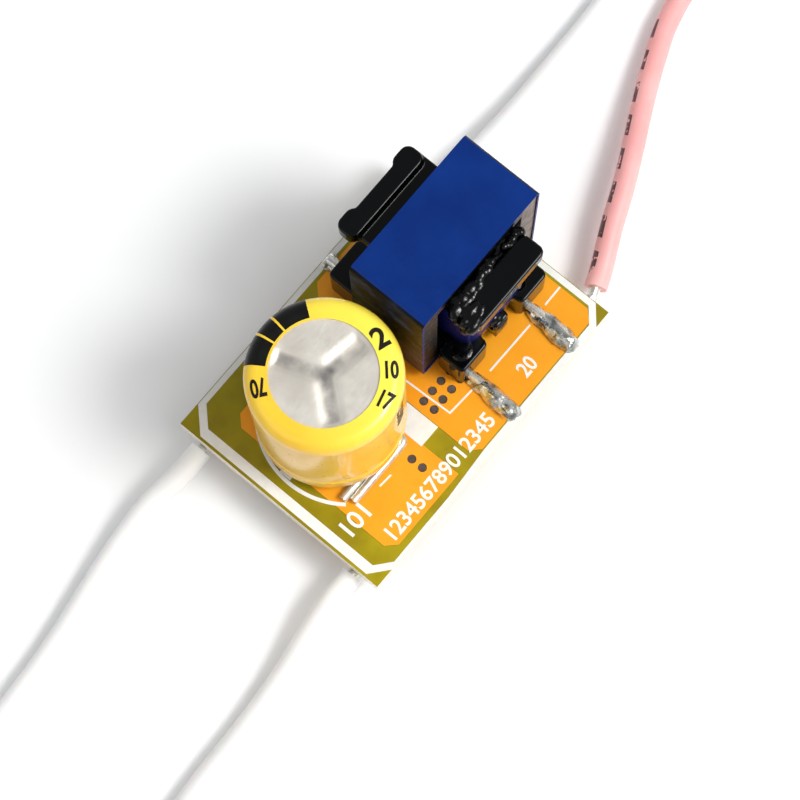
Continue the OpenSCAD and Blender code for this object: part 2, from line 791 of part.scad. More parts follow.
// Moulded body whose ends and sides draft away from the line where its leads leave it
module moulded_body(l, w, low, high, draft) {
    mid = (low + high) / 2;
    slab = 0.05;
    hull() {
        translate([0, 0, mid]) cube([l, w, slab], center = true);
        for (z = [low + slab / 2, high - slab / 2])
            translate([0, 0, z]) cube([l - 2 * draft, w - 2 * draft, slab], center = true);
    }
}

// Lead that leaves a body at half height, drops to the pad and turns outwards
module gull_lead(w, thick, leave, foot, reach) {
    out = reach - foot;
    rotate([90, 0, 0]) linear_extrude(w, center = true)
        polygon([[0, leave + thick / 2], [out + thick, leave + thick / 2], [out + thick, thick],
            [reach, thick], [reach, 0], [out, 0], [out, leave - thick / 2], [0, leave - thick / 2]]);
}

// Lead that leaves a body at half height, drops to the pad and turns in under the body
module folded_lead(w, thick, leave, out, under) {
    rotate([90, 0, 0]) linear_extrude(w, center = true)
        polygon([[0, leave + thick / 2], [out, leave + thick / 2], [out, 0], [-under, 0],
            [-under, thick], [out - thick, thick], [out - thick, leave - thick / 2], [0, leave - thick / 2]]);
}

lead_thick = 0.2;
body_lift = 0.1;
body_draft = 0.12;
bridge_lead_w = 0.6;
bridge_foot = 0.8;
chip_lead_w = 0.42;
chip_foot = 0.65;
dot_d = 0.8;
dot_in = 0.9;
dot_depth = 0.1;
bridge_leave = (bridge_h + body_lift) / 2;
chip_leave = (chip_h + body_lift) / 2;
diode_leave = (diode_h + lead_thick) / 2;

module bridge_rectifier() {
    color("black") underside(bridge_x, bridge_y)
        moulded_body(bridge_l, bridge_w, body_lift, bridge_h, body_draft);
}

module bridge_leads() {
    reach = (bridge_span - bridge_l) / 2;
    color("lightgray") underside(bridge_x, bridge_y) for (turn = [0, 180], s = [-1, 1])
        rotate(turn) translate([bridge_l / 2, s * bridge_pitch / 2, 0])
            gull_lead(bridge_lead_w, lead_thick, bridge_leave, bridge_foot, reach);
}

module driver_chip() {
    color("black") underside(chip_x, chip_y) difference() {
        moulded_body(chip_l, chip_w, body_lift, chip_h, body_draft);
        translate([-chip_l / 2 + dot_in, chip_w / 2 - dot_in, chip_h - dot_depth])
            cylinder(d = dot_d, h = over);
    }
}

module driver_leads() {
    reach = (chip_span - chip_w) / 2;
    color("lightgray") underside(chip_x, chip_y) for (turn = [90, 270], i = [-1.5 : 1.5])
        rotate(turn) translate([chip_w / 2, i * chip_pitch, 0])
            gull_lead(chip_lead_w, lead_thick, chip_leave, chip_foot, reach);
}

module freewheel_diode() {
    color("black") underside(diode_x, diode_y)
        moulded_body(diode_l, diode_w, lead_thick, diode_h, body_draft);
}

module diode_leads() {
    color("lightgray") underside(diode_x, diode_y) for (turn = [0, 180])
        rotate(turn) translate([diode_l / 2, 0, 0])
            folded_lead(diode_lead_w, lead_thick, diode_leave, diode_out, diode_under);
}

// Ceramic body of a chip part between its two end terminals
module chip_body(l, w, h, tone) {
    inner = l - 2 * terminal_l;
    color(tone) translate([-inner / 2, -w / 2 + terminal_over, terminal_over])
        cube([inner, w - 2 * terminal_over, h - 2 * terminal_over]);
}

module chip_ends(l, w, h) {
    for (s = [-1, 1]) translate([s * (l - terminal_l) / 2, 0, h / 2])
        cube([terminal_l, w, h], center = true);
}

module fuse_resistor() {
    underside(fuse_x, live_y) chip_body(large_l, large_w, resistor_h, "black");
}

module start_resistor() {
    underside(start_x, start_y) chip_body(small_l, small_w, resistor_h, "black");
}

module sense_resistor_1() {
    underside(sense_x, sense_y) chip_body(large_l, large_w, resistor_h, "black");
}

module sense_resistor_2() {
    underside(sense_x, sense_y + sense_step) chip_body(large_l, large_w, resistor_h, "black");
}

module bleeder_resistor() {
    underside(bleeder_x, bleeder_y, 90) chip_body(large_l, large_w, resistor_h, "black");
}

module supply_capacitor() {
    underside(start_x, supply_y) chip_body(small_l, small_w, ceramic_h, "tan");
}

module chip_terminals() {
    color("silver") {
        underside(fuse_x, live_y) chip_ends(large_l, large_w, resistor_h);
        underside(start_x, start_y) chip_ends(small_l, small_w, resistor_h);
        for (i = [0, 1]) underside(sense_x, sense_y + i * sense_step)
            chip_ends(large_l, large_w, resistor_h);
        underside(bleeder_x, bleeder_y, 90) chip_ends(large_l, large_w, resistor_h);
        underside(start_x, supply_y) chip_ends(small_l, small_w, ceramic_h);
    }
}

// Leads

module live_lead() {
    color("white") tube(live_route, wire_r);
}

module neutral_lead() {
    color("white") tube(neutral_route, wire_r);
}

module negative_lead() {
    color("white") tube(negative_route, wire_r);
}

module positive_lead() {
    color("salmon") tube(positive_route, wire_r);
}

// Tinned strands at both ends of a lead: from its insulation to the pad, and its stripped far end
module strands(route, side) {
    knee = strand_knee(route);
    finish = route[len(route) - 1];
    inner = side * (edge_x - strand_in);
    color("silver") {
        tube([[inner, knee.y, strand_z], knee, route[0]], strand_r, strand_sides);
        translate(finish) rotate([0, side * 90, 0]) {
            cylinder(r = strand_r, h = strip_l);
            translate([0, 0, strip_l]) sphere(strand_r);
        }
    }
}

module live_strands() {
    strands(live_route, -1);
}

module neutral_strands() {
    strands(neutral_route, -1);
}

module negative_strands() {
    strands(negative_route, 1);
}

module positive_strands() {
    strands(positive_route, 1);
}

// Solder over one lead's strands on the underside
module strand_solder(route, side) {
    start = edge_x - strand_in - solder_past;
    finish = edge_x - copper_margin / 2;
    y = strand_knee(route).y;
    difference() {
        translate([0, y, foil_z - solder_film]) rotate(side > 0 ? -90 : 90)
            capsule_y(solder_r, start, finish);
        translate([-edge_x, -edge_y, foil_z]) cube([board_l, board_w, board_t]);
        translate([0, y, strand_z]) rotate([0, side * 90, 0])
            translate([0, 0, edge_x - strand_in]) cylinder(r = strand_r, h = strand_in + over);
    }
}

module lead_solder() {
    color("silver") {
        strand_solder(live_route, -1);
        strand_solder(neutral_route, -1);
        strand_solder(negative_route, 1);
        strand_solder(positive_route, 1);
    }
}

circuit_board();
top_copper();
bottom_copper();
capacitor_can();
capacitor_sleeve();
capacitor_bung();
capacitor_lead_positive();
capacitor_lead_negative();
capacitor_solder();
wire_link();
inductor_bobbin();
core_lower();
core_upper();
winding();
winding_tape();
core_tape();
inductor_pin_1();
inductor_pin_2();
inductor_pin_3();
inductor_pin_4();
inductor_solder();
bridge_rectifier();
bridge_leads();
driver_chip();
driver_leads();
freewheel_diode();
diode_leads();
fuse_resistor();
start_resistor();
sense_resistor_1();
sense_resistor_2();
bleeder_resistor();
supply_capacitor();
chip_terminals();
live_lead();
neutral_lead();
negative_lead();
positive_lead();
live_strands();
neutral_strands();
negative_strands();
positive_strands();
lead_solder();
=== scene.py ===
# Looks of the LED driver board: print, solder, varnish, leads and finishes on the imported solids.
# Lengths are written in millimetres and turned into metres where a piece is made.
import math
import random

import bpy
from mathutils import Matrix, Vector


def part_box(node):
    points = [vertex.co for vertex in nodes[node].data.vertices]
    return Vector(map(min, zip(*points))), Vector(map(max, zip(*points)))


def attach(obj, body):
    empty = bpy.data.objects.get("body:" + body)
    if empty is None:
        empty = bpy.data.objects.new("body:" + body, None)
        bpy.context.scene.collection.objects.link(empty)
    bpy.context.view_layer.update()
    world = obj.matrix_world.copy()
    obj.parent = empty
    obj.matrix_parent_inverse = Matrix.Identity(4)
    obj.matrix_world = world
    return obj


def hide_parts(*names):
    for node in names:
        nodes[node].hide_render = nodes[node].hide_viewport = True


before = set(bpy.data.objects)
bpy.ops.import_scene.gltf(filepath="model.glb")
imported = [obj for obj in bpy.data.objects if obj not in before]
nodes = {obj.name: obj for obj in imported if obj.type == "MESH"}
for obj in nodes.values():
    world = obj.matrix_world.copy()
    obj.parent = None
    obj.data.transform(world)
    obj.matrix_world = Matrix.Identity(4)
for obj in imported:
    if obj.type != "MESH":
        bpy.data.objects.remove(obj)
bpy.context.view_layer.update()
scene = bpy.context.scene
scene.view_settings.view_transform = "Standard"

MM = 0.001


def corners(node):
    """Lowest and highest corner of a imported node, in millimetres."""
    low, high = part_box(node)
    return Vector(low) / MM, Vector(high) / MM


LAMINATE_TOP = corners("circuit_board")[1].z
FOIL_TOP = corners("top_copper")[1].z
CAN_LOW, CAN_HIGH = corners("capacitor_can")
CAP = (CAN_LOW + CAN_HIGH) / 2
TAPE_LOW, TAPE_HIGH = corners("core_tape")
CORE = (TAPE_LOW + TAPE_HIGH) / 2
WIRE_D = 1.6


# Camera at the photograph's viewing angle
CAMERA_PLACE = Vector((-27.196, -25.445, 161.1))
CAMERA_RIGHT = Vector((0.641568, -0.766984, -0.011234))
CAMERA_UP = Vector((0.750245, 0.624381, 0.217443))
CAMERA_BACK = Vector((-0.15976, -0.147933, 0.976008))


def place_camera():
    data = bpy.data.cameras.new("photo_camera")
    data.sensor_width = 36
    data.lens = 109.4
    data.clip_start = 0.005
    data.clip_end = 50
    camera = bpy.data.objects.new("photo_camera", data)
    turn = Matrix((CAMERA_RIGHT, CAMERA_UP, CAMERA_BACK)).transposed().to_4x4()
    camera.matrix_world = Matrix.Translation(CAMERA_PLACE * MM) @ turn
    scene.collection.objects.link(camera)
    scene.camera = camera


place_camera()


# Leads
LIVE_ROUTE = [(-12.3, 6.7, 1.9), (-14.5, 6.7, 1.9), (-17, 7, 1.57), (-20, 6.9, 1.196), (-24, 6.4, 0.91),
              (-28, 5.8, 0.8), (-32, 5.4, 0.8), (-36, 5.2, 0.8), (-40, 5.3, 0.8), (-44, 5.5, 0.8),
              (-48, 5.8, 0.8), (-52, 6.1, 0.8), (-56, 6.4, 0.8), (-61, 6.5, 0.8), (-66, 6.5, 0.8)]
NEUTRAL_ROUTE = [(-12.3, -6.5, 1.9), (-14.5, -6.5, 1.9), (-17, -6.8, 1.57), (-20, -7.2, 1.13),
                 (-24, -7.5, 0.855), (-28, -7.6, 0.8), (-32, -7.8, 0.8), (-36, -7.7, 0.8), (-40, -7.5, 0.8),
                 (-44, -7.2, 0.8), (-48, -6.9, 0.8), (-52, -6.7, 0.8), (-56, -6.6, 0.8), (-61, -6.5, 0.8),
                 (-66, -6.5, 0.8)]
NEGATIVE_ROUTE = [(12.3, 5.8, 1.9), (14.5, 5.8, 1.9), (17, 5.8, 1.57), (20, 5.8, 1.196), (24, 5.9, 0.91),
                  (28, 6, 0.8), (32, 6.2, 0.8), (36, 6.3, 0.8), (40, 6.4, 0.8), (44, 6.5, 0.8),
                  (48, 6.5, 0.8), (52, 6.5, 0.8), (56, 6.5, 0.8), (61, 6.5, 0.8), (66, 6.5, 0.8)]
POSITIVE_ROUTE = [(13.3, -6.5, 1.9), (14.3, -6.1, 1.9), (17.2, -4.7, 2.098), (20, -3.5, 2.098),
                  (23, -2.05, 1.79), (26, -0.55, 1.405), (29, 0.8, 1.097), (32, 1.9, 0.91), (36, 2.5, 0.8),
                  (41, 2.3, 0.8), (46, 1.6, 0.8), (51, 0.7, 0.8), (56, 0.1, 0.8), (61, 0, 0.8), (66, 0, 0.8)]


def lay_lead(name, route, node):
    curve = bpy.data.curves.new(name, "CURVE")
    curve.dimensions = "3D"
    curve.resolution_u = 6
    curve.bevel_depth = 1.0
    curve.bevel_resolution = 5
    curve.use_fill_caps = True
    spline = curve.splines.new("BEZIER")
    spline.bezier_points.add(len(route) - 1)
    for point, place in zip(spline.bezier_points, route):
        point.co = Vector(place) * MM
        point.radius = WIRE_D / 2 * MM
        point.handle_left_type = "AUTO"
        point.handle_right_type = "AUTO"
    lead = bpy.data.objects.new(name, curve)
    scene.collection.objects.link(lead)
    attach(lead, "root")
    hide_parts(node)
    return lead


live_insulation = lay_lead("live_insulation", LIVE_ROUTE, "live_lead")
neutral_insulation = lay_lead("neutral_insulation", NEUTRAL_ROUTE, "neutral_lead")
negative_insulation = lay_lead("negative_insulation", NEGATIVE_ROUTE, "negative_lead")
positive_insulation = lay_lead("positive_insulation", POSITIVE_ROUTE, "positive_lead")


# Shader node groups that several finishes share
NOISE_LOW = 0.3
NOISE_HIGH = 0.7


def new_group(name, inputs, outputs):
    group = bpy.data.node_groups.new(name, "ShaderNodeTree")
    for label, kind, value in inputs:
        socket = group.interface.new_socket(label, in_out="INPUT", socket_type=kind)
        if value is not None:
            socket.default_value = value
    for label, kind in outputs:
        group.interface.new_socket(label, in_out="OUTPUT", socket_type=kind)
    start = group.nodes.new("NodeGroupInput")
    end = group.nodes.new("NodeGroupOutput")
    return group, start, end


def make_mottle_group():
    group, start, end = new_group(
        "mottle",
        [("Place", "NodeSocketVector", None), ("Scale", "NodeSocketFloat", 1000.0),
         ("Light", "NodeSocketColor", (0.8, 0.8, 0.8, 1)), ("Dark", "NodeSocketColor", (0.5, 0.5, 0.5, 1)),
         ("Low", "NodeSocketFloat", 0.35), ("High", "NodeSocketFloat", 0.65)],
        [("Tint", "NodeSocketColor")])
    noise = group.nodes.new("ShaderNodeTexNoise")
    noise.inputs["Detail"].default_value = 4.0
    spread = group.nodes.new("ShaderNodeMapRange")
    mix = group.nodes.new("ShaderNodeMix")
    mix.data_type = "RGBA"
    group.links.new(start.outputs["Place"], noise.inputs["Vector"])
    group.links.new(start.outputs["Scale"], noise.inputs["Scale"])
    group.links.new(noise.outputs["Fac"], spread.inputs["Value"])
    group.links.new(start.outputs["Low"], spread.inputs["From Min"])
    group.links.new(start.outputs["High"], spread.inputs["From Max"])
    group.links.new(spread.outputs["Result"], mix.inputs["Factor"])
    group.links.new(start.outputs["Dark"], mix.inputs["A"])
    group.links.new(start.outputs["Light"], mix.inputs["B"])
    group.links.new(mix.outputs["Result"], end.inputs["Tint"])
    return group


def make_grain_group():
    group, start, end = new_group(
        "grain",
        [("Place", "NodeSocketVector", None), ("Scale", "NodeSocketFloat", 3000.0),
         ("Low", "NodeSocketFloat", 0.0), ("High", "NodeSocketFloat", 1.0)],
        [("Value", "NodeSocketFloat")])
    noise = group.nodes.new("ShaderNodeTexNoise")
    noise.inputs["Detail"].default_value = 3.0
    spread = group.nodes.new("ShaderNodeMapRange")
    spread.inputs["From Min"].default_value = NOISE_LOW
    spread.inputs["From Max"].default_value = NOISE_HIGH
    group.links.new(start.outputs["Place"], noise.inputs["Vector"])
    group.links.new(start.outputs["Scale"], noise.inputs["Scale"])
    group.links.new(noise.outputs["Fac"], spread.inputs["Value"])
    group.links.new(start.outputs["Low"], spread.inputs["To Min"])
    group.links.new(start.outputs["High"], spread.inputs["To Max"])
    group.links.new(spread.outputs["Result"], end.inputs["Value"])
    return group


def make_stroke_group():
    group, start, end = new_group(
        "strokes",
        [("Place", "NodeSocketVector", None), ("Along", "NodeSocketVector", (300.0, 6000.0, 300.0)),
         ("Low", "NodeSocketFloat", 0.0), ("High", "NodeSocketFloat", 1.0)],
        [("Value", "NodeSocketFloat")])
    stretch = group.nodes.new("ShaderNodeVectorMath")
    stretch.operation = "MULTIPLY"
    noise = group.nodes.new("ShaderNodeTexNoise")
    noise.inputs["Scale"].default_value = 1.0
    noise.inputs["Detail"].default_value = 4.0
    spread = group.nodes.new("ShaderNodeMapRange")
    spread.inputs["From Min"].default_value = NOISE_LOW
    spread.inputs["From Max"].default_value = NOISE_HIGH
    group.links.new(start.outputs["Place"], stretch.inputs[0])
    group.links.new(start.outputs["Along"], stretch.inputs[1])
    group.links.new(stretch.outputs["Vector"], noise.inputs["Vector"])
    group.links.new(noise.outputs["Fac"], spread.inputs["Value"])
    group.links.new(start.outputs["Low"], spread.inputs["To Min"])
    group.links.new(start.outputs["High"], spread.inputs["To Max"])
    group.links.new(spread.outputs["Result"], end.inputs["Value"])
    return group


MOTTLE = make_mottle_group()
GRAIN = make_grain_group()
STROKES = make_stroke_group()


class Finish:
    """A material with its Principled shader, the object's own coordinates and small helpers to wire nodes."""

    def __init__(self, name, **sockets):
        self.material = bpy.data.materials.new(name)
        self.material.use_nodes = True
        self.tree = self.material.node_tree
        self.shader = self.tree.nodes["Principled BSDF"]
        self.place = self.tree.nodes.new("ShaderNodeTexCoord").outputs["Object"]
        for label, value in sockets.items():
            self.shader.inputs[label.replace("_", " ")].default_value = value

    def link(self, source, target):
        self.tree.links.new(source, target)

    def node(self, kind, **settings):
        made = self.tree.nodes.new(kind)
        for label, value in settings.items():
            setattr(made, label, value)
        return made

    def group(self, tree, **values):
        made = self.node("ShaderNodeGroup", node_tree=tree)
        self.link(self.place, made.inputs["Place"])
        for label, value in values.items():
            made.inputs[label].default_value = value
        return made

    def grain(self, scale, low=0.0, high=1.0):
        """Fine noise spread between two values."""
        return self.group(GRAIN, Scale=scale, Low=low, High=high).outputs["Value"]

    def split(self, vector):
        """The X, Y and Z parts of a vector."""
        made = self.node("ShaderNodeSeparateXYZ")
        self.link(vector, made.inputs["Vector"])
        return made.outputs

    def wave(self, direction, scale):
        """Even bands across one axis."""
        made = self.node("ShaderNodeTexWave", bands_direction=direction)
        made.inputs["Scale"].default_value = scale
        self.link(self.place, made.inputs["Vector"])
        return made.outputs["Fac"]

    def normal(self):
        return self.node("ShaderNodeNewGeometry").outputs["Normal"]

    def ramp(self, value, low, high):
        """Runs from 0 to 1 while the value runs from low to high."""
        made = self.node("ShaderNodeMapRange")
        made.inputs["From Min"].default_value = low
        made.inputs["From Max"].default_value = high
        self.link(value, made.inputs["Value"])
        return made.outputs["Result"]

    def along(self, vector, way):
        """How far a vector reaches along a fixed way."""
        made = self.node("ShaderNodeVectorMath", operation="DOT_PRODUCT")
        self.link(vector, made.inputs[0])
        made.inputs[1].default_value = way
        return made.outputs["Value"]

    def math(self, operation, a, b=None):
        made = self.node("ShaderNodeMath", operation=operation)
        for socket, value in zip(made.inputs, (a, b)):
            if value is None:
                continue
            if isinstance(value, (int, float)):
                socket.default_value = value
            else:
                self.link(value, socket)
        return made.outputs["Value"]

    def between(self, value, low, high):
        above = self.math("GREATER_THAN", value, low)
        below = self.math("LESS_THAN", value, high)
        return self.math("MULTIPLY", above, below)

    def mix(self, factor, a, b):
        made = self.node("ShaderNodeMix", data_type="RGBA")
        self.link(factor, made.inputs["Factor"])
        for label, value in (("A", a), ("B", b)):
            if isinstance(value, tuple):
                made.inputs[label].default_value = value
            else:
                self.link(value, made.inputs[label])
        return made.outputs["Result"]

    def bump(self, height, strength, depth_mm):
        made = self.node("ShaderNodeBump")
        made.inputs["Strength"].default_value = strength
        made.inputs["Distance"].default_value = depth_mm * MM
        self.link(height, made.inputs["Height"])
        self.link(made.outputs["Normal"], self.shader.inputs["Normal"])

    def colour(self, source):
        self.link(source, self.shader.inputs["Base Color"])

    def roughness(self, source):
        self.link(source, self.shader.inputs["Roughness"])


def shade(r, g, b):
    """A colour written as it looks on screen, from 0 to 255, as a linear colour."""
    values = [channel / 255 for channel in (r, g, b)]
    linear = [v / 12.92 if v <= 0.04045 else ((v + 0.055) / 1.055) ** 2.4 for v in values]
    return (*linear, 1.0)


# Finishes
WEAVE_SCALE = 900.0
TURN_SCALE = 1250.0


def mask_finish(name, light, dark, edge_light, edge_dark):
    """Solder mask on the flat faces over a faint weave, and bare layers of fibre on the edges."""
    finish = Finish(name, Coat_Weight=0.1, Coat_Roughness=0.12, Specular_IOR_Level=0.3)
    tint = finish.group(MOTTLE, Scale=350.0, Light=light, Dark=dark)
    layers = finish.group(STROKES, Along=(500.0, 500.0, 9000.0))
    fibre = finish.mix(layers.outputs["Value"], edge_dark, edge_light)
    facing = finish.split(finish.normal())
    flat = finish.math("GREATER_THAN", finish.math("ABSOLUTE", facing["Z"]), 0.5)
    finish.colour(finish.mix(flat, fibre, tint.outputs["Tint"]))
    finish.roughness(finish.grain(2500.0, low=0.28, high=0.42))
    weave = finish.math("MULTIPLY", finish.wave("X", WEAVE_SCALE), finish.wave("Y", WEAVE_SCALE))
    finish.bump(weave, strength=0.08, depth_mm=0.02)
    return finish.material


def metal_finish(name, light, dark, low, high, lumps, lump_depth, metal):
    finish = Finish(name, Metallic=metal)
    tint = finish.group(MOTTLE, Scale=1400.0, Light=light, Dark=dark, Low=0.3, High=0.6)
    finish.colour(tint.outputs["Tint"])
    finish.roughness(finish.grain(2600.0, low=low, high=high))
    finish.bump(finish.grain(lumps), strength=0.5, depth_mm=lump_depth)
    return finish.material


# Depths below the can's top between which painted shade darkens the vent valleys
VALLEY_STARTS = 0.09
VALLEY_FULL = 0.2


def can_finish():
    """Brushed can with painted shade in streaks along the floors of its vent valleys."""
    finish = Finish("brushed_can", Metallic=0.6)
    tint = finish.group(MOTTLE, Scale=500.0, Light=shade(236, 230, 219), Dark=shade(216, 209, 198))
    parts = finish.split(finish.place)
    streaks = finish.group(STROKES, Along=(600.0, 600.0, 300.0))
    depth = finish.math("SUBTRACT", CAN_HIGH.z * MM, parts["Z"])
    deep = finish.ramp(depth, VALLEY_STARTS * MM, VALLEY_FULL * MM)
    # Painted shade: the valley floors turn grey in streaks, deeper down the valley.
    valley_painted_shade = finish.math("MULTIPLY", deep, streaks.outputs["Value"])
    finish.colour(finish.mix(valley_painted_shade, tint.outputs["Tint"], shade(88, 86, 88)))
    brush = finish.group(STROKES, Along=(1500.0, 9000.0, 1500.0), Low=0.4, High=0.55)
    finish.roughness(brush.outputs["Value"])
    height = finish.group(STROKES, Along=(900.0, 6000.0, 900.0))
    finish.bump(height.outputs["Value"], strength=0.12, depth_mm=0.02)
    return finish.material


# Dark band on the sleeve and the gaps in it, as turns round the capacitor in degrees
BAND_TURNS = (54, 123)
BAND_GAPS = ((81, 83), (97, 99))
BAND_INNER = 3.6
# Way across the shoulder along which painted light turns its film from gold to lemon towards the lit side,
# and between which distances
LIT_SIDE = (0.76, -0.65, 0)
LEMON_STARTS = -2.5
LEMON_FULL = 4.5
SLEEVE_COAT = 0.55


def sleeve_finish():
    """Yellow film with the dark band of the negative side; painted light turns the shoulder lemon on its lit
    side, and painted shade makes the wall darker and more orange than the shoulder.
    """
    finish = Finish("printed_sleeve", Coat_Roughness=0.1, Specular_IOR_Level=0.3)
    gold = finish.group(MOTTLE, Scale=260.0, Light=shade(255, 214, 60), Dark=shade(253, 204, 52))
    # Painted shade: the wall takes a darker, more orange copy of the film than the shoulder.
    wall = finish.group(MOTTLE, Scale=260.0, Light=shade(250, 200, 62), Dark=shade(245, 188, 50))
    facing = finish.split(finish.normal())
    centre = finish.node("ShaderNodeMapping")
    centre.inputs["Location"].default_value = (-CAP.x * MM, -CAP.y * MM, 0)
    finish.link(finish.place, centre.inputs["Vector"])
    across = finish.along(centre.outputs["Vector"], LIT_SIDE)
    # Painted light: the shoulder's film turns lemon towards the lit side.
    painted_light = finish.ramp(across, LEMON_STARTS * MM, LEMON_FULL * MM)
    shoulder = finish.mix(painted_light, gold.outputs["Tint"], shade(255, 248, 88))
    film = finish.mix(facing["Z"], wall.outputs["Tint"], shoulder)
    parts = finish.split(centre.outputs["Vector"])
    turn = finish.math("ARCTAN2", parts["Y"], parts["X"])
    band = finish.between(turn, *map(math.radians, BAND_TURNS))
    first_gap, second_gap = [finish.between(turn, *map(math.radians, gap)) for gap in BAND_GAPS]
    band = finish.math("SUBTRACT", band, finish.math("ADD", first_gap, second_gap))
    reach = finish.math("SQRT", finish.math("ADD", finish.math("POWER", parts["X"], 2.0),
                                            finish.math("POWER", parts["Y"], 2.0)))
    clear = finish.math("GREATER_THAN", reach, BAND_INNER * MM)
    band = finish.math("MULTIPLY", band, clear)
    finish.colour(finish.mix(band, film, shade(9, 8, 6)))
    bare = finish.math("SUBTRACT", 1.0, band)
    finish.link(finish.math("MULTIPLY", bare, SLEEVE_COAT), finish.shader.inputs["Coat Weight"])
    finish.roughness(finish.grain(1200.0, low=0.26, high=0.4))
    creases = finish.group(STROKES, Along=(700.0, 700.0, 120.0))
    finish.bump(creases.outputs["Value"], strength=0.12, depth_mm=0.03)
    return finish.material


def film_finish(name, light, dark, low, high, coat, scale=500.0, depth=0.03, strength=0.2, gloss=0.5):
    finish = Finish(name, Coat_Weight=coat, Coat_Roughness=0.08, Specular_IOR_Level=gloss)
    tint = finish.group(MOTTLE, Scale=scale, Light=light, Dark=dark)
    finish.colour(tint.outputs["Tint"])
    finish.roughness(finish.grain(2200.0, low=low, high=high))
    finish.bump(finish.grain(scale * 2), strength=strength, depth_mm=depth)
    return finish.material


def tape_finish():
    """Blue tape: even on the top, and wrinkled where it is pulled down the core's ends, which carry painted
    shade with pale streaks of painted reflection.
    """
    finish = Finish("blue_tape", Specular_IOR_Level=0.12)
    film = finish.group(MOTTLE, Scale=220.0, Light=shade(11, 50, 126), Dark=shade(6, 40, 110))
    wrinkles = finish.group(STROKES, Along=(500.0, 450.0, 600.0))
    # Painted shade on the core's ends, with pale streaks of painted reflection along the wrinkles.
    streak = finish.math("POWER", wrinkles.outputs["Value"], 4.0)
    end_shade_and_reflection = finish.mix(streak, shade(6, 8, 15), shade(66, 84, 132))
    facing = finish.split(finish.normal())
    end = finish.math("GREATER_THAN", finish.math("ABSOLUTE", facing["X"]), 0.6)
    finish.colour(finish.mix(end, film.outputs["Tint"], end_shade_and_reflection))
    finish.roughness(finish.grain(2200.0, low=0.3, high=0.42))
    finish.bump(finish.math("MULTIPLY", wrinkles.outputs["Value"], end), strength=0.5, depth_mm=0.08)
    return finish.material


# Distances below the tape's top and in from its output end where bare ferrite turns into soaked ferrite
BARE_DROP = 0.35
SOAKED_DROP = 0.6
BARE_RUN = 0.9
SOAKED_RUN = 2.2


def ferrite_finish():
    """Ground ferrite, bare along its top edge and darkened by varnish below it."""
    finish = Finish("ground_ferrite", Specular_IOR_Level=0.3)
    bare = finish.group(MOTTLE, Scale=1500.0, Light=shade(140, 130, 120), Dark=shade(100, 93, 88))
    soaked = finish.group(MOTTLE, Scale=900.0, Light=shade(16, 12, 10), Dark=shade(5, 4, 4),
                          Low=0.45, High=0.75)
    parts = finish.split(finish.place)
    drop = finish.ramp(parts["Z"], (TAPE_HIGH.z - BARE_DROP) * MM, (TAPE_HIGH.z - SOAKED_DROP) * MM)
    run = finish.ramp(parts["X"], (TAPE_HIGH.x - BARE_RUN) * MM, (TAPE_HIGH.x - SOAKED_RUN) * MM)
    wet = finish.math("MULTIPLY", drop, run)
    finish.colour(finish.mix(wet, bare.outputs["Tint"], soaked.outputs["Tint"]))
    finish.roughness(finish.grain(2200.0, low=0.3, high=0.55))
    finish.bump(finish.grain(2600.0), strength=0.4, depth_mm=0.03)
    return finish.material


def winding_finish():
    finish = Finish("enamelled_winding", Metallic=0.8, Coat_Weight=0.4, Coat_Roughness=0.1)
    tint = finish.group(MOTTLE, Scale=900.0, Light=shade(198, 112, 52), Dark=shade(150, 74, 30))
    finish.colour(tint.outputs["Tint"])
    finish.roughness(finish.grain(2200.0, low=0.22, high=0.4))
    finish.bump(finish.wave("Z", TURN_SCALE), strength=0.9, depth_mm=0.06)
    return finish.material


# Dashes along a printed lead, and how nearly the film has to face the printed side to take ink
DASH_PITCH = 2.3
DASH_SHARE = 0.62
PRINT_SIDE = (-0.55, 0.62, 0.56)
PRINT_EDGE = 0.92


def wire_finish(name, light, dark, printed):
    finish = Finish(name, Subsurface_Weight=0.12, Subsurface_Scale=0.0006)
    tint = finish.group(MOTTLE, Scale=220.0, Light=light, Dark=dark)
    if printed:
        parts = finish.split(finish.place)
        step = finish.math("FRACT", finish.math("MULTIPLY", parts["X"], 1 / (DASH_PITCH * MM)))
        dash = finish.math("LESS_THAN", step, DASH_SHARE)
        dash = finish.math("MULTIPLY", dash, finish.math("GREATER_THAN", finish.grain(2600.0), 0.3))
        stripe = finish.math("GREATER_THAN", finish.along(finish.normal(), PRINT_SIDE), PRINT_EDGE)
        ink = finish.math("MULTIPLY", dash, stripe)
        finish.colour(finish.mix(ink, tint.outputs["Tint"], shade(96, 48, 56)))
    else:
        finish.colour(tint.outputs["Tint"])
    finish.roughness(finish.grain(1800.0, low=0.38, high=0.52))
    finish.bump(finish.grain(1200.0), strength=0.15, depth_mm=0.02)
    return finish.material


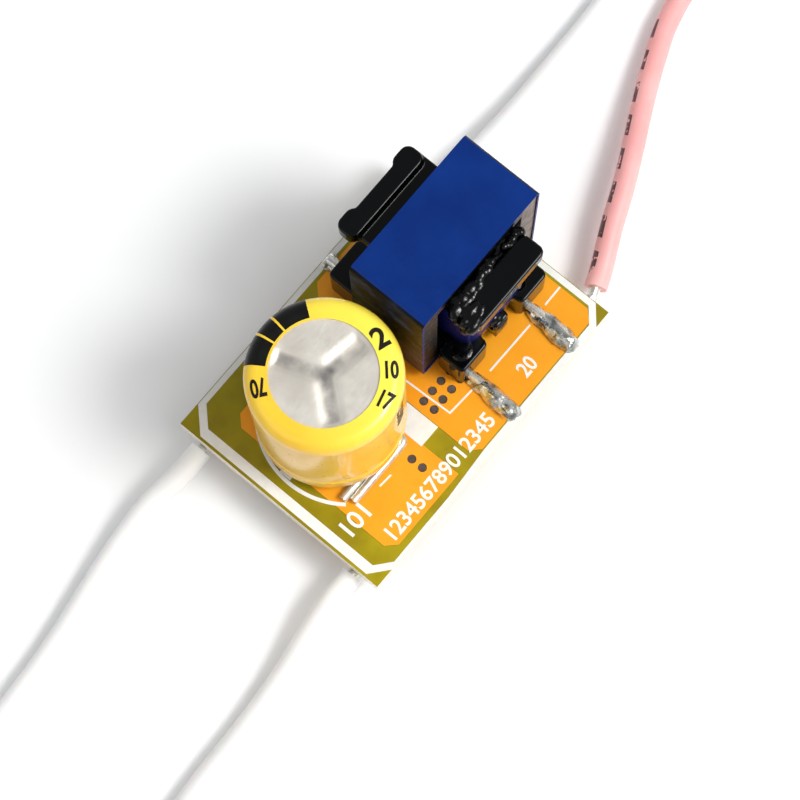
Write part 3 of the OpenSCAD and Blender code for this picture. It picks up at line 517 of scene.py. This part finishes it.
# Painted light: the board's edges take a pale cream in place of the tan of bare laminate.
OLIVE_MASK = mask_finish("olive_mask", shade(172, 157, 5), shade(146, 130, 2),
                         shade(252, 246, 230), shade(240, 228, 204))
ORANGE_MASK = mask_finish("orange_mask", shade(255, 170, 34), shade(252, 162, 26),
                          shade(214, 146, 70), shade(184, 114, 48))
SOLDER = metal_finish("bright_solder", shade(232, 233, 226), shade(104, 106, 104),
                      low=0.14, high=0.36, lumps=1100.0, lump_depth=0.14, metal=0.95)
TINNED = metal_finish("tinned_metal", shade(240, 239, 232), shade(212, 211, 204),
                      low=0.22, high=0.38, lumps=2600.0, lump_depth=0.02, metal=0.75)
CAN = can_finish()
SLEEVE = sleeve_finish()
RUBBER = film_finish("bung_rubber", shade(40, 39, 38), shade(24, 24, 24),
                     low=0.6, high=0.8, coat=0.0)
BOBBIN = film_finish("black_bobbin", shade(6, 7, 8), shade(3, 4, 5),
                     low=0.1, high=0.16, coat=0.0, scale=420.0, depth=0.01, strength=0.06, gloss=0.22)
FERRITE = ferrite_finish()
WINDING = winding_finish()
WRAP_TAPE = film_finish("wrap_tape", shade(6, 20, 104), shade(3, 8, 60),
                        low=0.35, high=0.5, coat=0.0, scale=500.0, depth=0.03, strength=0.2, gloss=0.15)
BLUE_TAPE = tape_finish()
MOULDED = film_finish("moulded_black", shade(46, 45, 44), shade(32, 31, 31),
                      low=0.5, high=0.7, coat=0.0, scale=2400.0, depth=0.02, strength=0.4)
GLAZE = film_finish("resistor_glaze", shade(30, 30, 32), shade(18, 18, 20),
                    low=0.18, high=0.3, coat=0.3)
CERAMIC = film_finish("capacitor_ceramic", shade(190, 160, 122), shade(166, 136, 100),
                      low=0.4, high=0.6, coat=0.1)
WHITE_WIRE = wire_finish("white_insulation", shade(254, 253, 250), shade(248, 247, 245), False)
RED_WIRE = wire_finish("red_insulation", shade(255, 190, 186), shade(251, 174, 171), True)
INK = film_finish("white_ink", shade(252, 251, 247), shade(244, 243, 237),
                  low=0.45, high=0.6, coat=0.0, scale=1800.0, depth=0.01, strength=0.3)
BLACK_INK = film_finish("black_ink", shade(34, 26, 22), shade(20, 15, 14),
                        low=0.4, high=0.55, coat=0.0, scale=1800.0, depth=0.01, strength=0.3, gloss=0.2)
VARNISH = film_finish("black_varnish", shade(6, 6, 7), shade(2, 2, 3),
                      low=0.04, high=0.1, coat=0.0, scale=1300.0, depth=0.05, strength=0.25, gloss=0.3)
DARK_VIA_FILL = film_finish("dark_via_fill", shade(92, 80, 76), shade(66, 57, 55),
                        low=0.4, high=0.6, coat=0.0, scale=2600.0, depth=0.02, strength=0.3)

NODE_FINISHES = {
    "circuit_board": OLIVE_MASK, "top_copper": ORANGE_MASK, "bottom_copper": ORANGE_MASK,
    "capacitor_can": CAN, "capacitor_sleeve": SLEEVE, "capacitor_bung": RUBBER,
    "capacitor_lead_positive": TINNED, "capacitor_lead_negative": TINNED, "capacitor_solder": SOLDER,
    "wire_link": TINNED, "inductor_bobbin": BOBBIN, "core_lower": FERRITE, "core_upper": FERRITE,
    "winding": WINDING, "winding_tape": WRAP_TAPE, "core_tape": BLUE_TAPE,
    "inductor_pin_1": TINNED, "inductor_pin_2": TINNED, "inductor_pin_3": TINNED, "inductor_pin_4": TINNED,
    "inductor_solder": SOLDER, "bridge_rectifier": MOULDED, "bridge_leads": TINNED,
    "driver_chip": MOULDED, "driver_leads": TINNED, "freewheel_diode": MOULDED, "diode_leads": TINNED,
    "fuse_resistor": GLAZE, "start_resistor": GLAZE, "sense_resistor_1": GLAZE, "sense_resistor_2": GLAZE,
    "bleeder_resistor": GLAZE, "supply_capacitor": CERAMIC, "chip_terminals": SOLDER,
    "live_strands": TINNED, "neutral_strands": TINNED, "negative_strands": TINNED, "positive_strands": TINNED,
    "live_lead": WHITE_WIRE, "neutral_lead": WHITE_WIRE, "negative_lead": WHITE_WIRE,
    "positive_lead": RED_WIRE, "lead_solder": SOLDER,
}
for node_name, finish_material in NODE_FINISHES.items():
    mesh = nodes[node_name].data
    mesh.materials.clear()
    mesh.materials.append(finish_material)
for lead in (live_insulation, neutral_insulation, negative_insulation):
    lead.data.materials.append(WHITE_WIRE)
positive_insulation.data.materials.append(RED_WIRE)


# Small helpers for modelling
def clear_selection():
    if bpy.context.object and bpy.context.object.mode != "OBJECT":
        bpy.ops.object.mode_set(mode="OBJECT")
    bpy.ops.object.select_all(action="DESELECT")


def pick(piece):
    """Makes a piece the active one and the only one selected."""
    clear_selection()
    bpy.context.view_layer.objects.active = piece
    piece.select_set(True)


def edit_whole(piece):
    """Enters edit mode with the whole mesh selected."""
    pick(piece)
    bpy.ops.object.mode_set(mode="EDIT")
    bpy.ops.mesh.select_all(action="SELECT")


def leave_outwards():
    """Turns all faces of the mesh outwards and leaves edit mode."""
    bpy.ops.mesh.select_all(action="SELECT")
    bpy.ops.mesh.normals_make_consistent(inside=False)
    bpy.ops.object.mode_set(mode="OBJECT")


def settle(piece, name, material):
    """Puts the piece's place into its mesh, names it and lets it ride on the board."""
    pick(piece)
    bpy.ops.object.transform_apply(location=True, rotation=True, scale=True)
    piece.name = name
    piece.data.name = name
    piece.data.materials.clear()
    piece.data.materials.append(material)
    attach(piece, "root")
    clear_selection()
    return piece


def to_mesh(piece):
    pick(piece)
    bpy.ops.object.convert(target="MESH")
    return bpy.context.object


def apply_modifier(piece, kind, **settings):
    pick(piece)
    made = piece.modifiers.new(kind.lower(), kind)
    for label, value in settings.items():
        setattr(made, label, value)
    bpy.ops.object.modifier_apply(modifier=made.name)


def join(parts):
    clear_selection()
    for part in parts:
        part.select_set(True)
    bpy.context.view_layer.objects.active = parts[0]
    bpy.ops.object.join()
    return bpy.context.object


def new_digits(text, size, **settings):
    """A mesh of plain digits at the origin."""
    clear_selection()
    bpy.ops.object.text_add()
    piece = bpy.context.object
    piece.data.body = text
    piece.data.size = size * MM
    for label, value in settings.items():
        setattr(piece.data, label, value)
    return to_mesh(piece)


# White print on the board
INK_PROUD = 0.015
INK_LOW = LAMINATE_TOP
INK_HIGH = FOIL_TOP + INK_PROUD
LINE_WIDTH = 0.13
DASH_WIDTH = 0.12
BOARD_BOLD = 0.03
MITRE_LEAST = 0.4


def print_outline(name, loops, high=INK_HIGH):
    """Flat ink bounded by closed loops of points, from the laminate up to the given level."""
    curve = bpy.data.curves.new(name, "CURVE")
    curve.dimensions = "2D"
    curve.fill_mode = "BOTH"
    curve.extrude = (high - INK_LOW) / 2 * MM
    for loop in loops:
        spline = curve.splines.new("POLY")
        spline.points.add(len(loop) - 1)
        spline.use_cyclic_u = True
        for point, (x, y) in zip(spline.points, loop):
            point.co = (x * MM, y * MM, 0, 1)
    piece = bpy.data.objects.new(name, curve)
    scene.collection.objects.link(piece)
    piece = to_mesh(piece)
    piece.location.z = (high + INK_LOW) / 2 * MM
    return settle(piece, name, INK)


def print_line(name, points, width):
    """A run of straight ink lines with mitred corners."""
    left, right = [], []
    for i, point in enumerate(points):
        here = Vector(point)
        before = Vector(points[max(i - 1, 0)])
        after = Vector(points[min(i + 1, len(points) - 1)])
        ahead = (after - here).normalized() if after != here else None
        behind = (here - before).normalized() if before != here else None
        way = (ahead or behind) if not (ahead and behind) else (ahead + behind).normalized()
        side = Vector((-way.y, way.x))
        reach = width / 2
        if ahead and behind:
            reach /= max(MITRE_LEAST, side.dot(Vector((-ahead.y, ahead.x))))
        left.append(tuple(here + side * reach))
        right.append(tuple(here - side * reach))
    return print_outline(name, [left + right[::-1]])


def print_digits(name, text, place, size, stretch):
    """Plain digits in ink that start at a place on the board."""
    piece = new_digits(text, size, extrude=(INK_HIGH - INK_LOW) / 2 * MM, offset=BOARD_BOLD * MM,
                       resolution_u=4)
    piece.scale = (stretch, 1, 1)
    piece.location = (place[0] * MM, place[1] * MM, (INK_HIGH + INK_LOW) / 2 * MM)
    return settle(piece, name, INK)


BORDER_OUTER = [(-11.8, 6.92), (-10.26, 8.45), (10.7, 8.45), (11.95, 7.2), (11.95, -7.42), (10.69, -8.5),
                (-10.52, -8.5), (-11.8, -7.41)]
BORDER_INNER = [(-11.1, 6.84), (-9.88, 8.05), (10.4, 8.05), (11.5, 7.0), (11.5, -7.17), (10.48, -8.04),
                (-0.45, -8.04), (-4.5, -8.28), (-10.02, -8.28), (-11.1, -7.37)]
print_outline("border_print", [BORDER_OUTER, BORDER_INNER], LAMINATE_TOP + INK_PROUD)
print_outline("block_print", [[(-3.0, -4.75), (-1.3, -4.75), (-1.3, -1.95), (-3.0, -1.95)]])
print_line("inductor_print_1", [(-0.3, 0.2), (-0.06, -4.75), (2.26, -4.89)], LINE_WIDTH)
print_line("inductor_print_2", [(3.83, -4.97), (7.97, -5.02)], LINE_WIDTH)
print_line("inductor_print_3", [(9.67, -4.92), (11.27, -4.9)], LINE_WIDTH)
print_line("polarity_print", [(-6.8, -4.35), (-5.75, -4.43)], DASH_WIDTH)


def print_ring():
    """Arc of ink round the capacitor's mains side, with a filled patch beside it."""
    steps = 40
    cx, cy, r, half = -4.31, 0.37, 6.15, 0.13
    first, sweep = 126, 92
    turns = [math.radians(first + sweep * i / steps) for i in range(steps + 1)]
    outer = [(cx + (r + half) * math.cos(t), cy + (r + half) * math.sin(t)) for t in turns]
    inner = [(cx + (r - half) * math.cos(t), cy + (r - half) * math.sin(t)) for t in turns]
    print_outline("ring_print", [outer + inner[::-1]])
    print_outline("ring_patch_print", [[(-10.27, 0.45), (-9.6, 0.45), (-9.6, 1.35), (-10.27, 1.35)]])


print_ring()
print_digits("row_print", "123456789012345", (-9.15, -7.45), size=1.5, stretch=0.95)
print_digits("cap_number_print", "101", (-10.85, -5.15), size=1.75, stretch=1.0)
print_digits("inductor_number_print", "20", (5.0, -7.15), size=1.5, stretch=0.85)


# Digits on the capacitor's sleeve
SLEEVE_BOLD = 0.05
FILM_GAP = 0.02
SHOULDER_START = 3.6
DROP_HEIGHT = 1
WALL_CLEAR = 6


def flat_digits(text, size):
    """Bold flat digits at the origin, cut fine enough to follow a curved wall."""
    piece = new_digits(text, size, align_y="CENTER", resolution_u=6, offset=SLEEVE_BOLD * MM)
    edit_whole(piece)
    bpy.ops.mesh.quads_convert_to_tris()
    bpy.ops.mesh.subdivide(number_cuts=6)
    bpy.ops.object.mode_set(mode="OBJECT")
    return piece


def lay_on_sleeve(piece):
    """Drops flat digits straight down from their own plane on to the sleeve's film."""
    apply_modifier(piece, "SHRINKWRAP", target=nodes["capacitor_sleeve"], wrap_method="PROJECT",
                   use_project_z=True, use_negative_direction=True, use_positive_direction=False,
                   offset=FILM_GAP * MM)


def sleeve_digits(name, text, turn, size, stretch):
    """Digits that run outwards over the sleeve's shoulder and lie on its film."""
    piece = flat_digits(text, size)
    angle = math.radians(turn)
    reach = Vector((math.cos(angle), math.sin(angle), 0)) * SHOULDER_START
    piece.scale = (stretch, 1, 1)
    piece.rotation_euler = (0, 0, angle)
    piece.location = (Vector((CAP.x, CAP.y, CAN_HIGH.z + DROP_HEIGHT)) + reach) * MM
    bpy.ops.object.transform_apply(location=True, rotation=True, scale=True)
    lay_on_sleeve(piece)
    return settle(piece, name, BLACK_INK)


sleeve_digits("sleeve_digit_1", "2", turn=-18, size=1.9, stretch=1.0)
sleeve_digits("sleeve_digit_2", "10", turn=-48, size=1.5, stretch=0.66)
sleeve_digits("sleeve_digit_3", "17", turn=-75, size=1.5, stretch=0.66)
sleeve_digits("sleeve_digit_4", "70", turn=142, size=1.6, stretch=0.62)


def wall_digits(name, text, turn, level, size):
    """Digits that run down the sleeve's wall at one place round it."""
    piece = flat_digits(text, size)
    angle = math.radians(turn)
    out = Vector((math.cos(angle), math.sin(angle), 0))
    down = Vector((0, 0, -1))
    across = out.cross(down)
    start = Vector((CAP.x, CAP.y, level)) + out * WALL_CLEAR
    place = Matrix((down, across, out)).transposed().to_4x4()
    piece.matrix_world = Matrix.Translation(start * MM) @ place
    lay_on_sleeve(piece)
    return settle(piece, name, BLACK_INK)


wall_digits("sleeve_wall_digits", "2 5 8 0", turn=-72, level=15.2, size=1.3)


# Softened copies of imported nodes
MERGE = 0.002


def copy_node(node, name):
    """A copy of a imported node's mesh with its split corners merged."""
    piece = bpy.data.objects.new(name, nodes[node].data.copy())
    scene.collection.objects.link(piece)
    edit_whole(piece)
    bpy.ops.mesh.remove_doubles(threshold=MERGE * MM)
    bpy.ops.mesh.dissolve_limited(angle_limit=math.radians(1))
    bpy.ops.object.mode_set(mode="OBJECT")
    return piece


def soften(node, name, voxel, passes, material):
    """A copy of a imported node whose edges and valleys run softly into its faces."""
    piece = copy_node(node, name)
    apply_modifier(piece, "REMESH", mode="VOXEL", voxel_size=voxel * MM)
    apply_modifier(piece, "SMOOTH", factor=0.5, iterations=passes)
    bpy.ops.object.shade_smooth()
    settle(piece, name, material)
    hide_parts(node)


soften("capacitor_can", "soft_can", voxel=0.12, passes=16, material=CAN)


# Solder over the inductor's pins: share of the way along a ridge, and its half width there in millimetres
RIDGE_PROFILE = [(0.0, 0.4), (0.08, 0.5), (0.2, 0.6), (0.4, 0.67), (0.6, 0.72), (0.8, 0.73),
                 (0.9, 0.66), (0.96, 0.5), (1.0, 0.22)]
RIDGE_LIFT = 0.02
LUMP_SPACING = 0.7
LUMP_HEIGHT = 0.34


def solder_ridge(start, finish, full):
    """A ridge of solder that runs out along a pad, narrow at the pin's foot and full at its far end."""
    clear_selection()
    start = Vector((*start, FOIL_TOP + RIDGE_LIFT))
    finish = Vector((*finish, FOIL_TOP + RIDGE_LIFT))
    away = math.atan2(finish.y - start.y, finish.x - start.x)
    first = RIDGE_PROFILE[0][1] * full
    bpy.ops.mesh.primitive_circle_add(vertices=28, radius=first * MM, fill_type="NGON", location=start * MM,
                                      rotation=(math.pi / 2, 0, away + math.pi / 2))
    piece = bpy.context.object
    bpy.ops.object.transform_apply(location=True, rotation=True, scale=True)
    bpy.ops.object.mode_set(mode="EDIT")
    bpy.ops.mesh.select_all(action="SELECT")
    for (here, half), (there, next_half) in zip(RIDGE_PROFILE, RIDGE_PROFILE[1:]):
        step = (finish - start) * (there - here)
        bpy.ops.mesh.extrude_region_move(TRANSFORM_OT_translate={"value": step * MM})
        grow = next_half / half
        middle = start + (finish - start) * there
        bpy.ops.transform.resize(value=(grow, 1, grow), center_override=middle * MM)
    leave_outwards()
    apply_modifier(piece, "SUBSURF", levels=2, render_levels=2)
    lumps = bpy.data.textures.new("solder_lumps", "CLOUDS")
    lumps.noise_scale = LUMP_SPACING * MM
    apply_modifier(piece, "DISPLACE", texture=lumps, texture_coords="LOCAL",
                   strength=LUMP_HEIGHT * MM, mid_level=0.5)
    edit_whole(piece)
    bpy.ops.mesh.bisect(plane_co=(0, 0, FOIL_TOP * MM), plane_no=(0, 0, 1), clear_inner=True, use_fill=True)
    leave_outwards()
    bpy.ops.object.shade_smooth_by_angle(angle=math.radians(50))
    return piece


PINS = [corners("inductor_pin_%d" % number) for number in (1, 2, 3, 4)]
EDGE_Y = corners("circuit_board")[1].y
NEAR_FOOT = -4.1
FAR_FOOT = 6.9
RIDGE_SLANT = 0.25
NEAR_STOP = 0.05
FAR_STOP = 0.15
FAR_SHARE = 0.8
ridges = []
for low, high in PINS:
    x = (low.x + high.x) / 2
    if low.y < CORE.y:
        ridges.append(solder_ridge((x, NEAR_FOOT), (x - RIDGE_SLANT, NEAR_STOP - EDGE_Y), 1.0))
    else:
        ridges.append(solder_ridge((x, FAR_FOOT), (x, EDGE_Y - FAR_STOP), FAR_SHARE))
pin_joints = settle(join(ridges), "pin_joints", SOLDER)
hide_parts("inductor_solder")

soften("inductor_bobbin", "soft_bobbin", voxel=0.1, passes=8, material=BOBBIN)


# Varnish on the inductor
VARNISH_VOXEL = 0.07


def varnish(name, drops):
    """Drops of varnish run together: each has a place and three half sizes in millimetres."""
    parts = []
    for place, sizes in drops:
        clear_selection()
        bpy.ops.mesh.primitive_uv_sphere_add(segments=24, ring_count=12, radius=MM,
                                             location=Vector(place) * MM)
        part = bpy.context.object
        part.scale = sizes
        parts.append(part)
    piece = join(parts)
    bpy.ops.object.transform_apply(location=True, rotation=True, scale=True)
    apply_modifier(piece, "REMESH", mode="VOXEL", voxel_size=VARNISH_VOXEL * MM)
    apply_modifier(piece, "SMOOTH", factor=0.5, iterations=4)
    bpy.ops.object.shade_smooth()
    return settle(piece, name, VARNISH)


dice = random.Random(7)


def scatter(count, low, high, size, flat):
    """Drops at random places between two corners, each lower than it is wide."""
    drops = []
    for _ in range(count):
        place = [dice.uniform(a, b) for a, b in zip(low, high)]
        half = dice.uniform(*size)
        drops.append((place, (half * dice.uniform(0.9, 1.6), half, half * flat)))
    return drops


varnish("trough_varnish", scatter(34, (3.1, -2.35, 15.7), (9.7, -1.95, 15.95), (0.22, 0.4), 0.9)
        + scatter(12, (2.95, -2.7, 15.9), (5.2, -2.2, 16.05), (0.25, 0.42), 0.5))
varnish("bar_varnish", scatter(16, (3.1, -3.9, 15.95), (4.2, -2.5, 16.0), (0.22, 0.4), 0.6)
        + scatter(14, (2.85, -4.0, 15.2), (3.25, -2.4, 15.85), (0.28, 0.46), 0.9))
varnish("tooth_varnish", [((6.3, -3.5, 6.5), (0.8, 0.62, 1.0)), ((6.1, -3.3, 7.1), (0.6, 0.45, 0.55))])
varnish("foot_varnish", scatter(7, (3.7, -3.9, 7.27), (4.5, -2.2, 7.34), (0.12, 0.22), 0.5)
        + [((3.1, -3.1, 7.3), (0.85, 0.8, 0.16))])


# Dark fill in the vias
VIA_PITCH = 0.9
VIA_FIRST = (-0.55, -2.9)
VIA_ROWS = [(VIA_FIRST[0] + VIA_PITCH * i, VIA_FIRST[1] - VIA_PITCH * j) for i in range(4) for j in range(2)]
VIA_PAIRS = [(-4.05, -4.8), (-4.05, -5.7), (10.9, 7.3), (10.0, 7.3)]
PLUG_R = 0.295
PLUG_H = 1.5
PLUG_MIDDLE = 3.32
DISH_RIM = 0.08
DISH_DEPTH = 0.03


def fill_vias():
    """Dished dark plugs that fill the plated holes almost to the foil."""
    plugs = []
    for x, y in VIA_ROWS + VIA_PAIRS:
        clear_selection()
        bpy.ops.mesh.primitive_cylinder_add(vertices=24, radius=PLUG_R * MM, depth=PLUG_H * MM,
                                            location=(x * MM, y * MM, PLUG_MIDDLE * MM))
        plug = bpy.context.object
        bpy.ops.object.transform_apply(location=True, rotation=True, scale=True)
        for face in plug.data.polygons:
            face.select = abs(face.normal.z) > 0.9
        bpy.ops.object.mode_set(mode="EDIT")
        bpy.ops.mesh.inset(thickness=DISH_RIM * MM, depth=-DISH_DEPTH * MM)
        bpy.ops.object.mode_set(mode="OBJECT")
        plugs.append(plug)
    settle(join(plugs), "via_plugs", DARK_VIA_FILL)


fill_vias()


# Numbers under the chip parts
PART_NUMBERS = {"fuse_resistor": "100", "start_resistor": "204", "sense_resistor_1": "330",
                "sense_resistor_2": "330", "bleeder_resistor": "513", "driver_chip": "2468"}
NUMBER_SHARE = 0.55
NUMBER_MOST = 1.0
NUMBER_THICK = 0.005
NUMBER_DROP = 0.006


def part_number(node, number):
    """White digits on a part's lower face, read from below and set along its longer side."""
    low, high = corners(node)
    middle = (low + high) / 2
    length, width = high.x - low.x, high.y - low.y
    size = min(min(length, width) * NUMBER_SHARE, NUMBER_MOST)
    piece = new_digits(number, size, align_x="CENTER", align_y="CENTER", extrude=NUMBER_THICK * MM,
                       resolution_u=4)
    piece.rotation_euler = (math.pi, 0, 0 if length > width else math.pi / 2)
    piece.location = Vector((middle.x, middle.y, low.z - NUMBER_DROP)) * MM
    settle(piece, node + "_number", INK)


for node_name, number in PART_NUMBERS.items():
    part_number(node_name, number)


# Floor and light
FLOOR_GLOW = 0.06
# Brightness of the surroundings below and above the heights where they dim
HORIZON = 0.5
ZENITH = 0.34
DIM_STARTS = 0.35
DIM_FULL = 0.95


def lay_floor():
    clear_selection()
    bpy.ops.mesh.primitive_plane_add(size=8)
    floor = bpy.context.object
    floor.name = "white_table"
    finish = Finish("white_table", Roughness=0.9, Specular_IOR_Level=0.0, Emission_Color=(1, 1, 1, 1))
    tint = finish.group(MOTTLE, Scale=60.0, Light=(0.95, 0.95, 0.95, 1), Dark=(0.94, 0.94, 0.945, 1))
    finish.colour(tint.outputs["Tint"])
    rays = finish.node("ShaderNodeLightPath")
    seen = finish.math("MAXIMUM", rays.outputs["Is Camera Ray"], rays.outputs["Is Glossy Ray"])
    seen = finish.math("MAXIMUM", seen, rays.outputs["Is Transmission Ray"])
    finish.link(finish.math("MULTIPLY", seen, FLOOR_GLOW), finish.shader.inputs["Emission Strength"])
    floor.data.materials.append(finish.material)


def hang_light(name, place, size, power):
    """A round light that faces the board."""
    data = bpy.data.lights.new(name, "AREA")
    data.shape = "DISK"
    data.size = size
    data.energy = power
    light = bpy.data.objects.new(name, data)
    light.location = place
    light.rotation_euler = Vector(place).to_track_quat("Z", "Y").to_euler()
    scene.collection.objects.link(light)


lay_floor()
KEY_PLACE = Vector((0.135, -0.255, 0.385))
# The small light hangs a little in front of the large one, so that its glints are seen
GLINT_SHARE = 0.9
hang_light("key_softbox", KEY_PLACE, size=0.36, power=1.05)
hang_light("glint_softbox", KEY_PLACE * GLINT_SHARE, size=0.13, power=0.8)
hang_light("fill_softbox", (-0.35, 0.1, 0.4), size=0.4, power=0.3)


def light_world():
    """Soft surroundings, a little dimmer straight above."""
    world = bpy.data.worlds.new("studio")
    world.use_nodes = True
    tree = world.node_tree
    sky = tree.nodes["Background"]
    sky.inputs["Color"].default_value = (0.96, 0.98, 1.0, 1)
    way = tree.nodes.new("ShaderNodeTexCoord")
    parts = tree.nodes.new("ShaderNodeSeparateXYZ")
    dim = tree.nodes.new("ShaderNodeMapRange")
    dim.inputs["From Min"].default_value = DIM_STARTS
    dim.inputs["From Max"].default_value = DIM_FULL
    dim.inputs["To Min"].default_value = HORIZON
    dim.inputs["To Max"].default_value = ZENITH
    tree.links.new(way.outputs["Generated"], parts.inputs["Vector"])
    tree.links.new(parts.outputs["Z"], dim.inputs["Value"])
    tree.links.new(dim.outputs["Result"], sky.inputs["Strength"])
    scene.world = world


light_world()


bpy.context.view_layer.update()
